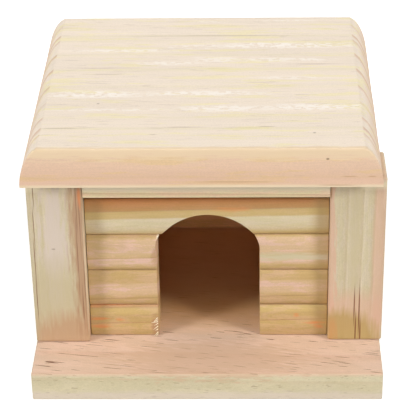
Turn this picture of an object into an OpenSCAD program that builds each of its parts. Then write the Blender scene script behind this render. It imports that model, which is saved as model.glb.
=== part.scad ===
// Wooden house for a small pet: a floor board with a porch, four square
// corner posts, walls of stacked half-log strips, an arched doorway and a
// thick roof board whose two ends are rounded over.
// Millimetres, +Z up. The front with the doorway faces -Y. The origin is
// on the ground, in the middle of the overall width and depth.

/* [Base board] */
// How far each side of the floor board lies in from the posts
base_side_in = 0.3; // [0:0.1:2]
// How far the floor board sits left of the body
base_shift = 0.3; // [0:0.1:2]
// Thickness of the floor board
base_t = 10.7; // [6:0.1:18]
// Depth of the porch in front of the posts
porch_d = 19.3; // [8:0.1:40]
// Rounding of the porch's front edges
base_edge_r = 1.1; // [0.3:0.1:2.5]
// Rounding of the board's upright corners
base_corner_r = 1.4; // [0.5:0.1:4]

/* [Body] */
// Width over the corner posts
body_w = 120; // [100:0.5:160]
// Depth over the corner posts
body_d = 93.6; // [75:0.1:140]
// How far the right front post is set back from the left one
right_set_back = 1.1; // [0:0.1:2.5]
// How far the rear posts stand in from the front ones, on each side
rear_in = 1.6; // [0:0.1:3]

/* [Corner posts] */
// Width of a post across the front
post_w = 18.8; // [12:0.1:26]
// Depth of a post
post_d = 19; // [14:0.1:26]
// Rounding of the upright edges of a post
post_edge_r = 0.7; // [0.2:0.1:2]

/* [Logs] */
// Height of one full log
log_h = 14.15; // [11:0.05:18]
// Visible height of the lowest log, trimmed at the floor
low_log_h = 12.3; // [8:0.1:18]
// Visible height of the highest log, trimmed at the roof
top_log_h = 9.65; // [7.5:0.05:18]
// Thickness of a log strip
log_t = 12; // [6:0.1:14]
// How far the round front of a log falls back at its edges
log_crown = 1.5; // [0.4:0.1:3]
// How square the shoulders of a log are
log_shape = 2.6; // [1.6:0.1:4]
// How far the log faces lie behind the post faces
log_recess = 4.1; // [2.5:0.1:6]

/* [Door header] */
// Height of the batten under the roof
header_h = 6.9; // [4:0.1:9.5]
// How far the batten lies behind the left post's face
header_in = 0.5; // [0:0.1:1.5]
// Gap between the batten and the round log face behind it
header_gap = 0.3; // [0.2:0.05:0.6]

/* [Doorway] */
// Width of the doorway
door_w = 35; // [24:0.1:50]
// Height of the doorway over the floor, to the top of its arch
door_h = 48.7; // [38:0.1:53]
// How far the doorway lies right of the middle of the body
door_x = 0.2; // [-3:0.1:3]
// Radius of the arch's crown, in half doorway widths
door_crown = 1.086; // [1.02:0.002:1.6]
// Radius of the arch's haunches, in half doorway widths
door_haunch = 0.57; // [0.3:0.01:0.9]

/* [Roof board] */
// Thickness of the roof board
roof_t = 14.5; // [9:0.1:22]
// How far the roof reaches out in front of the left post
roof_over = 5.1; // [1:0.1:12]
// How far the roof reaches out behind the rear posts
roof_rear_over = 5.3; // [0:0.1:12]
// How much wider the roof is than the body, on each side
roof_side_over = -0.35; // [-1:0.05:10]
// How far the roof sits left of the body
roof_shift = 1.4; // [0:0.1:4]
// Width of the rounding at each end of the roof
end_in = 7; // [3:0.1:16]
// Height of the upright face left under each rounding
end_land = 0.8; // [0.6:0.1:4]
// Fullness of the end rounding: 2 is a true ellipse
end_shape = 1.75; // [1.3:0.05:2.6]
// Rounding of the roof's long edges
roof_edge_r = 0.5; // [0.2:0.1:1.2]

/* [Hidden] */
big = 400;           // longer than the whole house
arc_n = 10;          // steps in each half of a log's round face
end_n = 16;          // steps in the rounding of a roof end

// Overall size, which sets the origin
base_w = body_w - 2 * base_side_in;
base_d = porch_d + body_d;
roof_w = body_w + 2 * roof_side_over;
roof_d = roof_over + body_d + roof_rear_over;
roof_y0 = porch_d - roof_over;       // front of the roof, behind the porch's edge
total_d = max(base_d, roof_y0 + roof_d);
side_l = max(body_w / 2, base_w / 2 + base_shift, roof_w / 2 + roof_shift);
side_r = max(body_w / 2, roof_w / 2 - roof_shift);
cx = (side_l - side_r) / 2;          // middle of the body
yo = -total_d / 2;                   // front edge of the porch

// Heights
wall_h = low_log_h + 3 * log_h + top_log_h;
floor_z = base_t;
roof_z = floor_z + wall_h;

// Planes of the body, from its front to its rear
front_y = yo + porch_d;
rear_y = front_y + body_d;
inner_x = body_w / 2 - post_w;       // inner faces of the posts, from cx
log_y = front_y + log_recess;        // crown of the front logs
rear_w = body_w - 2 * rear_in;       // width over the rear posts
rear_inner_x = rear_w / 2 - post_w;  // inner faces of the rear posts, from cx

// Three-centred arch of the doorway, its heights over the floor
door_r = door_w / 2;
crown_r = door_r * door_crown;
haunch_r = door_r * door_haunch;
haunch_x = door_r - haunch_r;
crown_z = door_h - crown_r;
haunch_z = crown_z + sqrt(pow(crown_r - haunch_r, 2) - pow(haunch_x, 2));
join_a = atan2(haunch_z - crown_z, haunch_x);   // where haunch and crown meet

// Foot and top of log row i, from 1 at the floor to 5 at the roof
function row_z0(i) = i == 1 ? floor_z : floor_z + low_log_h + (i - 2) * log_h;
function row_z1(i) = i == 5 ? roof_z : floor_z + low_log_h + (i - 1) * log_h;
// Middle of the full round of row i, before any trimming
function row_mid(i) = floor_z + low_log_h + (i - 1.5) * log_h;
// Fall of the round face at t, from -1 at its foot to 1 at its top
function fall(t) = log_crown * (1 - pow(max(0, 1 - pow(abs(t), log_shape)), 1 / log_shape));
// Points of an arc about [x, z], less skip points at either end
function arc(x, z, r, a0, a1, n, skip = 0) =
    [for (k = [skip:n - skip]) let (a = a0 + (a1 - a0) * k / n)
        [x + r * cos(a), z + r * sin(a)]];
// Steps along the round, closer together near the shoulders
function spread(k) = sin(90 * k / arc_n);

// Cross-section of row i: [depth behind the crown, height]
module log_section(i) {
    intersection() {
        polygon(concat(
            [for (k = [-arc_n:arc_n])
                [fall(spread(k)), row_mid(i) + spread(k) * log_h / 2]],
            [[log_t, row_mid(i) + log_h / 2], [log_t, row_mid(i) - log_h / 2]]));
        translate([-1, row_z0(i)]) square([log_t + 2, row_z1(i) - row_z0(i)]);
    }
}

// A log of row i and length len along +X, its round face towards -Y at y = 0
module log_strip(i, len) {
    rotate([90, 0, 90]) linear_extrude(height = len) log_section(i);
}

// The arched opening, cut right through the front wall
module doorway() {
    translate([cx + door_x, log_y + log_t + 1, floor_z]) rotate([90, 0, 0])
        linear_extrude(height = log_t + log_recess + 2)
            polygon(concat(
                [[door_r, -1]],
                arc(haunch_x, haunch_z, haunch_r, 0, join_a, 8),
                arc(0, crown_z, crown_r, join_a, 180 - join_a, 28, 1),
                arc(-haunch_x, haunch_z, haunch_r, 180 - join_a, 180, 8),
                [[-door_r, -1]]));
}

// Front log of row i, cut by the doorway; side -1 is left of it and 1 right
module front_log(i, side = 0) {
    x0 = side == 1 ? door_x : -inner_x;
    x1 = side == -1 ? door_x : inner_x;
    color("burlywood") difference() {
        translate([cx + x0, log_y, 0]) log_strip(i, x1 - x0);
        doorway();
    }
}

// Log of row i in a side wall, between the posts: side -1 left and 1 right
module side_log(i, side) {
    y0 = front_y + post_d + (side == 1 ? right_set_back : 0);
    len = rear_y - post_d - y0;
    x = cx + side * (body_w / 2 - log_recess);
    color("burlywood") translate([x, side == -1 ? y0 + len : y0, 0])
        rotate([0, 0, side * 90]) log_strip(i, len);
}

// Log of row i in the rear wall, its round face towards +Y
module rear_log(i) {
    color("burlywood") translate([cx + rear_inner_x, rear_y - log_recess, 0])
        rotate([0, 0, 180]) log_strip(i, 2 * rear_inner_x);
}

// Rectangle w by d from its corner at [0, 0], with corners of radius r
module round_rect(w, d, r) {
    translate([r, 0]) square([w - 2 * r, d]);
    translate([0, r]) square([w, d - 2 * r]);
    for (x = [r, w - r]) for (y = [r, d - r])
        translate([x, y]) circle(r = r, $fn = 32);
}

// Square post with softened edges, its front left corner at [x, y]
module post(x, y) {
    translate([x, y, floor_z]) linear_extrude(height = wall_h)
        round_rect(post_w, post_d, post_edge_r);
}

module base_board() {
    color("tan") intersection() {
        // seen from the side: long edges softened
        translate([-big / 2, yo, 0]) rotate([90, 0, 90]) linear_extrude(height = big)
            round_rect(base_d, base_t, base_edge_r);
        // seen from above: upright corners rounded
        translate([cx - base_shift - base_w / 2, yo, -1]) linear_extrude(height = base_t + 2)
            round_rect(base_w, base_d, base_corner_r);
    }
}

module front_left_post() { color("wheat") post(cx - body_w / 2, front_y); }
module front_right_post() {
    color("wheat") post(cx + body_w / 2 - post_w, front_y + right_set_back);
}
module rear_left_post() { color("wheat") post(cx - rear_w / 2, rear_y - post_d); }
module rear_right_post() { color("wheat") post(cx + rear_w / 2 - post_w, rear_y - post_d); }

module door_header() {
    color("burlywood") translate([cx - inner_x, front_y + header_in, roof_z - header_h])
        cube([2 * inner_x, log_recess - header_in - header_gap, header_h]);
}

// Board seen from the front: square below, each end rounded over above
module roof_section() {
    rise = roof_t - end_land;
    half = roof_w / 2;
    pts = [for (k = [0:end_n]) let (t = sin(90 * k / end_n))
        [end_in * (1 - pow(max(0, 1 - pow(t, end_shape)), 1 / end_shape)), end_land + rise * t]];
    polygon(concat(
        [[-half, 0]], [for (p = pts) [-half + p[0], p[1]]],
        [for (k = [end_n:-1:0]) [half - pts[k][0], pts[k][1]]], [[half, 0]]));
}

module roof_board() {
    color("wheat") intersection() {
        translate([cx - roof_shift, yo + roof_y0 + roof_d, roof_z]) rotate([90, 0, 0])
            linear_extrude(height = roof_d) roof_section();
        // seen from the side: the long edges lightly broken
        translate([-big / 2, yo + roof_y0, roof_z]) rotate([90, 0, 90])
            linear_extrude(height = big) round_rect(roof_d, roof_t, roof_edge_r);
    }
}

base_board();
front_left_post();
front_right_post();
rear_left_post();
rear_right_post();
door_header();
front_log(5);  // front_top_log
front_log(4);  // front_arch_log
front_log(1, -1);  // front_left_log_1
front_log(2, -1);  // front_left_log_2
front_log(3, -1);  // front_left_log_3
front_log(1, 1);  // front_right_log_1
front_log(2, 1);  // front_right_log_2
front_log(3, 1);  // front_right_log_3
side_log(1, -1);  // left_log_1
side_log(2, -1);  // left_log_2
side_log(3, -1);  // left_log_3
side_log(4, -1);  // left_log_4
side_log(5, -1);  // left_log_5
side_log(1, 1);  // right_log_1
side_log(2, 1);  // right_log_2
side_log(3, 1);  // right_log_3
side_log(4, 1);  // right_log_4
side_log(5, 1);  // right_log_5
rear_log(1);  // rear_log_1
rear_log(2);  // rear_log_2
rear_log(3);  // rear_log_3
rear_log(4);  // rear_log_4
rear_log(5);  // rear_log_5
roof_board();
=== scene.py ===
"""Looks of a small wooden pet house: half-log walls, arched doorway, thick roof.

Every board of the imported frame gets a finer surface, worked out with numpy:
softened edges, the round log faces, the arched cut and the slight waviness of
sanded pine. Each board also has its own pine finish, with growth rings where
the real board shows them. Lengths are metres; ring places and the marks in
the wood are millimetres.
"""

import logging
import math
from dataclasses import dataclass, field
from enum import Enum
from typing import Callable

import bpy
import numpy as np
from mathutils import Matrix, Vector


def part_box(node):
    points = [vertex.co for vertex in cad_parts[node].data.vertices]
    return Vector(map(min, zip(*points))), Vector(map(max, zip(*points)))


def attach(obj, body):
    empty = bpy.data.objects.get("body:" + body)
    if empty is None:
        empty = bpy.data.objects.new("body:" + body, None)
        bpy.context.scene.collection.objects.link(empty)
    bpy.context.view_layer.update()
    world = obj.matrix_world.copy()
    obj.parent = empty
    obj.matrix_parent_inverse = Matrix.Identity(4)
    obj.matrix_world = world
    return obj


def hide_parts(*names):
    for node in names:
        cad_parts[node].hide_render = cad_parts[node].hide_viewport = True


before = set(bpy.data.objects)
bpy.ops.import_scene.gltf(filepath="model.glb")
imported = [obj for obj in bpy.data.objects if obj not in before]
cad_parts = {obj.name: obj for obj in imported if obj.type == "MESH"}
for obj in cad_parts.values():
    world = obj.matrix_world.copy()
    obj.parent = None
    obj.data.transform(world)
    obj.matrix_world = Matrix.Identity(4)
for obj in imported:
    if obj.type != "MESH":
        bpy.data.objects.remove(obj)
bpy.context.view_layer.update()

MM = 0.001
BODY = "root"
log = logging.getLogger("pet_house")

Array = np.ndarray
Colour = tuple[float, float, float]
Point = tuple[float, float, float]
Stops = tuple[tuple[float, float], ...]
Socket = bpy.types.NodeSocket


class Grain(Enum):
    """Axis along which a board's fibres run."""

    ACROSS = 0
    DEEP = 1
    UP = 2


class Side(Enum):
    """Side of the house that a wall of logs closes."""

    FRONT = "front"
    LEFT = "left"
    RIGHT = "right"
    REAR = "rear"


class Tint(Enum):
    """Colours of the marks in the wood and of painted light and shade, from 0 to 255."""

    KNOT = (104, 70, 42)
    LINE = (122, 72, 42)
    # Lilac grey: a patch on the left post, and painted bounce light along the bottom of the
    # porch.
    LILAC = (214, 197, 184)
    # Dark khaki: painted shade low on the left post, and a grain stripe on the right post.
    DUSK = (196, 180, 144)
    RESIN = (222, 136, 78)
    STREAK = (176, 132, 98)
    SAND = (233, 208, 172)
    # Tan: strokes on the roof's front, and painted shade at the left post's foot.
    TAN = (188, 145, 110)
    # Oranger wood inside the house: painted light tuned to the shaded inside.
    INNER = (232, 176, 108)
    # Ochre: tones on some logs, and painted shade at the right post's foot.
    OCHRE = (180, 150, 86)
    # Painted shadow of the posts on the ends of the logs beside them.
    DULL = (184, 152, 96)
    # Painted light: a highlight on the roof's lower front arris and on the left post's inner
    # arris, and light on the top of the right post's side.
    CREAM = (240, 219, 186)
    # Painted light at the top of the posts' faces, over the roof's shadow.
    SHEEN = (236, 223, 190)
    # Almost white: painted light along the top of the header, and a pale spot by the doorway on
    # the third left log.
    PETAL = (252, 242, 214)
    WHITE = (255, 245, 233)
    MOSS = (205, 193, 158)
    ROSE = (216, 172, 146)
    # Rosy tan: a darker tone over the porch's middle, and painted shade along its front top
    # edge.
    TREAD = (207, 172, 142)
    DASH = (116, 74, 46)


class Figure(Enum):
    """Noise in the wood: its length and width in millimetres, detail and roughness."""

    BEND = (60.0, 9.0, 2.0, 0.5)
    FUZZ = (7.0, 0.8, 3.0, 0.5)
    FIBRE = (14.0, 0.30, 3.0, 0.6)
    BAND = (90.0, 5.0, 2.0, 0.5)
    SPECK = (0.55, 0.35, 1.0, 0.5)
    DASHES = (9.0, 0.48, 1.0, 0.5)
    BREAKS = (2.4, 1.0, 3.0, 0.6)


def linear(colour: Colour) -> tuple[float, float, float, float]:
    """Turns a colour as seen on a screen into the linear one a shader takes.

    Args:
        colour: red, green and blue from 0 to 255.

    Returns:
        The linear colour from 0 to 1, with an alpha of 1.
    """
    c = np.asarray(colour, float) / 255.0
    lin = np.where(c <= 0.04045, c / 12.92, ((c + 0.055) / 1.055) ** 2.4)
    return (float(lin[0]), float(lin[1]), float(lin[2]), 1.0)


# --- finishes -----------------------------------------------------------


class Graph:
    """A thin helper that adds and links the nodes of one material."""

    def __init__(self, material: bpy.types.Material | bpy.types.World) -> None:
        """Empties the node tree and keeps it.

        Args:
            material: the material or sky that the graph belongs to.
        """
        material.use_nodes = True
        self.tree = material.node_tree
        self.tree.nodes.clear()

    def add(self, kind: str, inputs: dict | None = None, **settings: object) -> bpy.types.Node:
        """Adds a node.

        Args:
            kind: the node's type, without the leading "ShaderNode".
            inputs: socket name or number to a value or another node's socket.
            **settings: properties of the node itself.

        Returns:
            The new node.
        """
        node = self.tree.nodes.new("ShaderNode" + kind)
        for name, value in settings.items():
            setattr(node, name, value)
        for key, value in (inputs or {}).items():
            if isinstance(value, bpy.types.NodeSocket):
                self.tree.links.new(value, node.inputs[key])
            else:
                node.inputs[key].default_value = value
        return node

    def math(self, operation: str, a: Socket | float, b: Socket | float = 0.0) -> Socket:
        """Adds a Math node of two inputs and returns its output."""
        return self.add("Math", {0: a, 1: b}, operation=operation).outputs[0]

    def noise(self, place: Socket, detail: float, roughness: float) -> Socket:
        """Adds a noise texture that reads place and returns its value, 0 to 1."""
        inputs = {"Vector": place, "Scale": 1.0, "Detail": detail, "Roughness": roughness}
        return self.add("TexNoise", inputs).outputs[0]

    def span(self, value: Socket, low: float, high: float, to_low: float = 0.0,
             to_high: float = 1.0) -> Socket:
        """Maps value from low..high to to_low..to_high, clamped, and returns it."""
        inputs = {0: value, 1: low, 2: high, 3: to_low, 4: to_high}
        return self.add("MapRange", inputs).outputs[0]

    def swing(self, value: Socket, reach: float, low: float = 0.0, high: float = 1.0) -> Socket:
        """Maps value from low..high to -reach..reach, clamped, and returns it."""
        return self.span(value, low, high, -reach, reach)

    def mix(self, factor: Socket | float, a: Socket | tuple, b: Socket | tuple,
            blend: str = "MIX") -> Socket:
        """Mixes two colours and returns the result."""
        inputs = {0: factor, 6: a, 7: b}
        return self.add("Mix", inputs, data_type="RGBA", blend_type=blend).outputs[2]

    def ramp(self, factor: Socket, stops: list[tuple[float, tuple]]) -> Socket:
        """Adds a colour ramp.

        Args:
            factor: place on the ramp, from 0 to 1.
            stops: pairs of place and linear colour, rising.

        Returns:
            The ramp's colour.
        """
        node = self.add("ValToRGB", {0: factor})
        elements = node.color_ramp.elements
        while len(elements) < len(stops):
            elements.new(1.0)
        for element, (place, colour) in zip(elements, stops):
            element.position = place
            element.color = colour
        return node.outputs[0]

    def finish(self, surface: Socket) -> None:
        """Links the finished shader to a new output.

        Args:
            surface: the shader.
        """
        kind = "OutputMaterial"
        if isinstance(self.tree.id_data, bpy.types.World):
            kind = "OutputWorld"
        out = self.add(kind)
        self.tree.links.new(surface, out.inputs[0])


# Lateness of the wood where a year begins, and where it starts to darken.
SPRING = 0.15
SUMMER = 0.35
# How far the rings' ramp goes past their first and last stop, in millimetres.
MARGIN = 2.0


@dataclass(frozen=True)
class Rings:
    """Growth rings of one board.

    The ring coordinate is the place in millimetres along `across`, bent by
    slow noise. The stops say how late in its year the wood there grew: 0 is
    the palest early wood, 1 the darkest late wood.

    Attributes:
        across: direction in which the ring coordinate grows.
        stops: pairs of ring coordinate and lateness, rising.
        waviness: how far the rings wander, in millimetres.
    """

    across: Point
    stops: Stops
    waviness: float = 0.8

    @classmethod
    def years(cls, across: Point, ends: tuple[float, ...], depth: tuple[float, ...],
              slow: float = 2.4, quick: float = 0.35, **more: object) -> "Rings":
        """Makes rings whose wood darkens slowly and starts pale again at once.

        Args:
            across: direction in which the ring coordinate grows.
            ends: ring coordinates at which the years end.
            depth: how dark the late wood of each year is, from 0 to 1.
            slow: width of the darkening, in millimetres.
            quick: width of the step back to pale wood.
            **more: further attributes.

        Returns:
            The rings.
        """
        stops = []
        for end, dark in zip(ends, depth):
            stops += [(end - slow, SUMMER), (end, SUMMER + (1.0 - SUMMER) * dark),
                      (end + quick, SPRING)]
        return cls(across, tuple(stops), **more)

    def reach(self) -> tuple[float, float]:
        """Lowest and highest ring coordinate that the ramps cover."""
        places = [place for place, _ in self.stops]
        return min(places) - MARGIN, max(places) + MARGIN

    def lateness_ramp(self) -> list[tuple[float, tuple]]:
        """The stops as a grey ramp over the reach.

        Returns:
            Pairs of place on the ramp and colour.
        """
        low, high = self.reach()
        return [((place - low) / (high - low), (late, late, late, 1.0))
                for place, late in self.stops]


@dataclass(frozen=True)
class Mark:
    """A soft-edged spot in the wood: a knot, a resin patch, a streak, or a patch of painted
    light and shade.

    Attributes:
        place: its middle, in millimetres.
        size: its half sizes along X, Y and Z, in millimetres.
        tint: its colour.
        strength: how far it covers the wood, from 0 to 1.
        soft: how gradually it ends, in half sizes.
        ragged: how far its outline frays, in half sizes.
    """

    place: Point
    size: Point
    tint: Tint = Tint.KNOT
    strength: float = 0.8
    soft: float = 0.4
    ragged: float = 0.5


# Lateness of ordinary wood, and of the brown between it and late wood.
ORDINARY = 0.45
BROWNISH = 0.8
# Range of a noise that is used, low to high, and of the specks.
USED = (0.2, 0.8)
SPECK_USED = (0.25, 0.75)
# How far fibres, bands and specks lighten or darken the wood.
FIBRE_TONE = 0.075
BAND_TONE = 0.05
SPECK_TONE = 0.055
# How far fine noise moves the rings, in millimetres.
FRAY = 0.18
# Noise values between which patches, dashes and breaks in the flecks begin.
PATCH_FROM = (0.48, 0.54)
DASH_FROM = (0.68, 0.70)
BREAK_FROM = (0.46, 0.51)
# Lateness between which the lines on rounded ends begin.
LATE_FROM = (0.36, 0.80)
# Facing between which the other colour begins, its rings fade, and a rounded
# end begins and ends.
OTHER_FROM = (0.05, 0.75)
FADE_FROM = (0.6, 1.0)
ROUND_FROM = (0.1, 0.45)
ROUND_TO = (0.93, 0.995)
# How dark the dashes are at most, and their share where the board faces away.
DASH_DARK = 0.9
DASH_AWAY = 0.4
# How much darker the edges are, from 0 to 255: partly wear, partly painted shade that dims their
# highlights.
WEAR_AND_SHADE_BY = 30.0
# Roughness of early and of late wood, and how far the fibres change it.
EARLY_ROUGH = 0.64
LATE_ROUGH = 0.54
FIBRE_ROUGH = 0.05
# Height of the grain's relief and how strongly it shows, and the wood's shine.
RELIEF = 0.12 * MM
RELIEF_SHOWN = 0.35
SHINE = 0.38


@dataclass(frozen=True)
class PineFinish:
    """Bare sanded pine of one board.

    Attributes:
        name: the material's name.
        slot: name of a material slot; not used.
        grain: the axis of the fibres.
        rings: the board's growth rings.
        pale: colour of the palest early wood, 0 to 255.
        early: colour of ordinary wood.
        brown: colour between ordinary and late wood, if not halfway.
        late: colour of the darkest late wood.
        other: colour of ordinary wood on the side the board's facing names; on the roof's top
            and the logs' inner side it is painted light.
        other_rings: how strong the rings are on that side.
        streak: strength of the fine fibre streaks.
        mottle: strength of the patches of another tone.
        patch: length and width of those patches, in millimetres.
        rarity: how much rarer than half of the surface they are.
        rose: red, green and blue of the patches, over the wood round them.
        dashes: strength of the short resin dashes, fewest away from that side.
        marks: the board's own marks.
        flecks: places where almost white wood shows in broken streaks.
        shift: moves the noise, so that no two boards are alike.
        slant: how far the fibres turn to the left, in degrees.
        edge_wear_and_shade: how far its edges darken, from wear and from painted shade that dims
            their highlights.
        end_lines: how dark late wood shows where the board rounds over at its ends.
    """

    name: str
    slot: str
    grain: Grain
    rings: Rings
    pale: Colour
    early: Colour
    late: Colour
    brown: Colour | None = None
    other: Colour | None = None
    other_rings: float = 1.0
    streak: float = 1.0
    mottle: float = 1.0
    patch: tuple[float, float] = (12.0, 3.5)
    rarity: float = 0.0
    rose: Colour = (1.08, 1.06, 1.36)
    dashes: float = 0.5
    marks: tuple[Mark, ...] = ()
    flecks: tuple[Mark, ...] = ()
    shift: float = 0.0
    slant: float = 0.0
    edge_wear_and_shade: float = 0.4
    end_lines: float = 0.0

    def _stretched(self, g: Graph, place: Socket, along: float, across: float) -> Socket:
        """Turns and scales the coordinates, so that noise on them follows the fibres.

        Args:
            g: the material's graph.
            place: the object coordinates.
            along: length of the noise along the grain, in millimetres.
            across: its width.

        Returns:
            The coordinates.
        """
        size = [across] * 3
        size[self.grain.value] = along
        scale = tuple(MM * s for s in size)
        offset = tuple(-self.shift * k * s for k, s in zip((1.0, 1.7, 2.3), scale))
        inputs = {"Vector": place, "Location": offset, "Scale": scale,
                  "Rotation": (0.0, 0.0, math.radians(self.slant))}
        return g.add("Mapping", inputs, vector_type="TEXTURE").outputs[0]

    def _noise(self, g: Graph, place: Socket, figure: Figure) -> Socket:
        """One kind of noise that follows the fibres, from 0 to 1."""
        along, across, detail, roughness = figure.value
        return g.noise(self._stretched(g, place, along, across), detail, roughness)

    def _rings(self, g: Graph, place: Socket, fuzz: Socket) -> Socket:
        """Adds the rings.

        The ring coordinate is the dot product of the object coordinates with
        the ring direction, bent by slow noise and roughened by fine noise.

        Args:
            g: the material's graph.
            place: the object coordinates.
            fuzz: fine noise.

        Returns:
            How late in its year the wood grew.
        """
        slow = self._noise(g, place, Figure.BEND)
        direction = tuple(1.0 / MM * k for k in self.rings.across)
        inputs = {0: place, 1: direction}
        dot = g.add("VectorMath", inputs, operation="DOT_PRODUCT").outputs["Value"]
        bent = g.math("ADD", dot, g.swing(slow, self.rings.waviness))
        bent = g.math("ADD", bent, g.swing(fuzz, FRAY))
        year = g.span(bent, *self.rings.reach())
        return g.ramp(year, self.rings.lateness_ramp())

    def _cover(self, g: Graph, place: Socket, fuzz: Socket, mark: Mark) -> Socket:
        """How far a mark covers each point, from 0 to its strength.

        Inside it, the distance from its middle, measured in its half sizes
        and frayed by fine noise, is below about 1.

        Args:
            g: the material's graph.
            place: the object coordinates.
            fuzz: fine noise that frays the outline.
            mark: the mark.

        Returns:
            The cover.
        """
        near = g.add("Mapping", {
            "Vector": place,
            "Location": tuple(-p / s for p, s in zip(mark.place, mark.size)),
            "Scale": tuple(1.0 / (s * MM) for s in mark.size)}).outputs[0]
        away = g.add("VectorMath", {0: near}, operation="LENGTH").outputs["Value"]
        away = g.math("ADD", away, g.swing(fuzz, mark.ragged))
        return g.span(away, 1.0 - mark.soft, 1.0 + mark.soft, mark.strength, 0.0)

    def _marked(self, g: Graph, place: Socket, fuzz: Socket, colour: Socket) -> Socket:
        """Lays the board's marks over its colour, and its flecks, broken up by noise, over them.

        Args:
            g: the material's graph.
            place: the object coordinates.
            fuzz: fine noise that frays the outlines.
            colour: the wood's colour.

        Returns:
            The colour with the marks.
        """
        for mark in self.marks:
            colour = g.mix(self._cover(g, place, fuzz, mark), colour, linear(mark.tint.value))
        if self.flecks:
            broken = self._noise(g, place, Figure.BREAKS)
            white = self._cover(g, place, fuzz, self.flecks[0])
            for fleck in self.flecks[1:]:
                white = g.math("MAXIMUM", white, self._cover(g, place, fuzz, fleck))
            white = g.math("MULTIPLY", white, g.span(broken, *BREAK_FROM))
            colour = g.mix(white, colour, linear(self.flecks[0].tint.value))
        return colour

    def _wood(self, g: Graph, lateness: Socket, late_lines: Socket, facing: Socket) -> Socket:
        """Turns the lateness of the wood into its colour.

        Args:
            g: the material's graph.
            lateness: how late in its year the wood grew.
            late_lines: how dark late wood shows on rounded ends.
            facing: how far each point faces the side of the other colour.

        Returns:
            The colour of the plain wood.
        """
        tones = [(0.0, linear(self.pale)), (ORDINARY, linear(self.early)),
                 (1.0, linear(self.late))]
        if self.brown:
            tones.insert(2, (BROWNISH, linear(self.brown)))
        colour = g.ramp(lateness, tones)
        if self.other:
            share = [a / b for a, b in zip(linear(self.other)[:3], linear(self.early)[:3])]
            other = g.mix(1.0, colour, (*share, 1.0), "MULTIPLY")
            colour = g.mix(g.span(facing, *OTHER_FROM), colour, other)
        if self.end_lines:
            rounded = g.math("MULTIPLY", g.span(facing, *ROUND_FROM),
                             g.span(facing, *ROUND_TO, 1.0, 0.0))
            shown = g.math("MULTIPLY", late_lines, rounded)
            colour = g.mix(shown, colour, linear(Tint.ROSE.value))
        return colour

    def build(self) -> bpy.types.Material:
        """Makes the material.

        A ramp turns the lateness of the wood into colour. Patches of rosier
        wood, fine fibre streaks, resin dashes, the board's marks, some of them
        painted light and shade, and the darkened edges, partly wear and partly
        painted shade, lie over it, and roughness and bump follow them.

        Returns:
            The finished material.
        """
        material = bpy.data.materials.new(self.name)
        g = Graph(material)
        place = g.add("TexCoord").outputs["Object"]
        fuzz = self._noise(g, place, Figure.FUZZ)
        fibre = self._noise(g, place, Figure.FIBRE)
        band = self._noise(g, place, Figure.BAND)
        patch = g.noise(self._stretched(g, place, *self.patch), detail=5.0, roughness=0.66)
        speck = self._noise(g, place, Figure.SPECK)
        dash = self._noise(g, place, Figure.DASHES)
        edge = g.add("Attribute", attribute_name="edge").outputs["Fac"]
        facing = g.add("Attribute", attribute_name="facing").outputs["Fac"]

        lateness = self._rings(g, place, fuzz)
        late_lines = g.span(lateness, *LATE_FROM, 0.0, self.end_lines)
        if self.other_rings != 1.0:
            kept = g.span(facing, *FADE_FROM, 1.0, self.other_rings)
            level = g.math("MULTIPLY", g.math("SUBTRACT", lateness, ORDINARY), kept)
            lateness = g.math("ADD", level, ORDINARY)
        colour = self._wood(g, lateness, late_lines, facing)
        rosy = g.mix(1.0, colour, (*self.rose, 1.0), "MULTIPLY")
        start, full = (self.rarity + value for value in PATCH_FROM)
        colour = g.mix(g.span(patch, start, full, 0.0, self.mottle), colour, rosy)
        tone = g.math("ADD", g.swing(fibre, FIBRE_TONE * self.streak, *USED),
                      g.span(band, *USED, 1.0 - BAND_TONE, 1.0 + BAND_TONE))
        tone = g.math("ADD", tone, g.swing(speck, SPECK_TONE, *SPECK_USED))
        grey = g.add("CombineColor", {0: tone, 1: tone, 2: tone}).outputs[0]
        colour = g.mix(1.0, colour, grey, "MULTIPLY")
        dark = g.math("MULTIPLY", g.span(dash, *DASH_FROM, 0.0, DASH_DARK * self.dashes),
                      g.span(facing, 0.0, 1.0, DASH_AWAY, 1.0))
        colour = g.mix(dark, colour, linear(Tint.DASH.value))
        colour = self._marked(g, place, fuzz, colour)
        # Edges darken: partly wear, partly painted shade that dims the highlights of the eased
        # edges.
        edge_wear_and_shade = linear(tuple(c - WEAR_AND_SHADE_BY for c in self.pale))
        colour = g.mix(g.math("MULTIPLY", edge, self.edge_wear_and_shade), colour, edge_wear_and_shade)

        rough = g.math("ADD", g.span(lateness, 0.0, 1.0, EARLY_ROUGH, LATE_ROUGH),
                       g.swing(fibre, FIBRE_ROUGH, *USED))
        height = g.math("ADD", g.math("MULTIPLY", lateness, 0.5), fibre)
        height = g.math("SUBTRACT", height, dark)
        bump = g.add("Bump", {"Height": height, "Strength": RELIEF_SHOWN,
                              "Distance": RELIEF})
        shader = g.add("BsdfPrincipled", {
            "Base Color": colour, "Roughness": rough, "Normal": bump.outputs[0],
            "Specular IOR Level": SHINE})
        g.finish(shader.outputs[0])
        return material


# --- surfaces -----------------------------------------------------------

# How many sine waves make a board uneven, and the range of their lengths
# over the length asked for.
WAVES = 14
WAVE_SPREAD = (0.55, 1.6)


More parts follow.
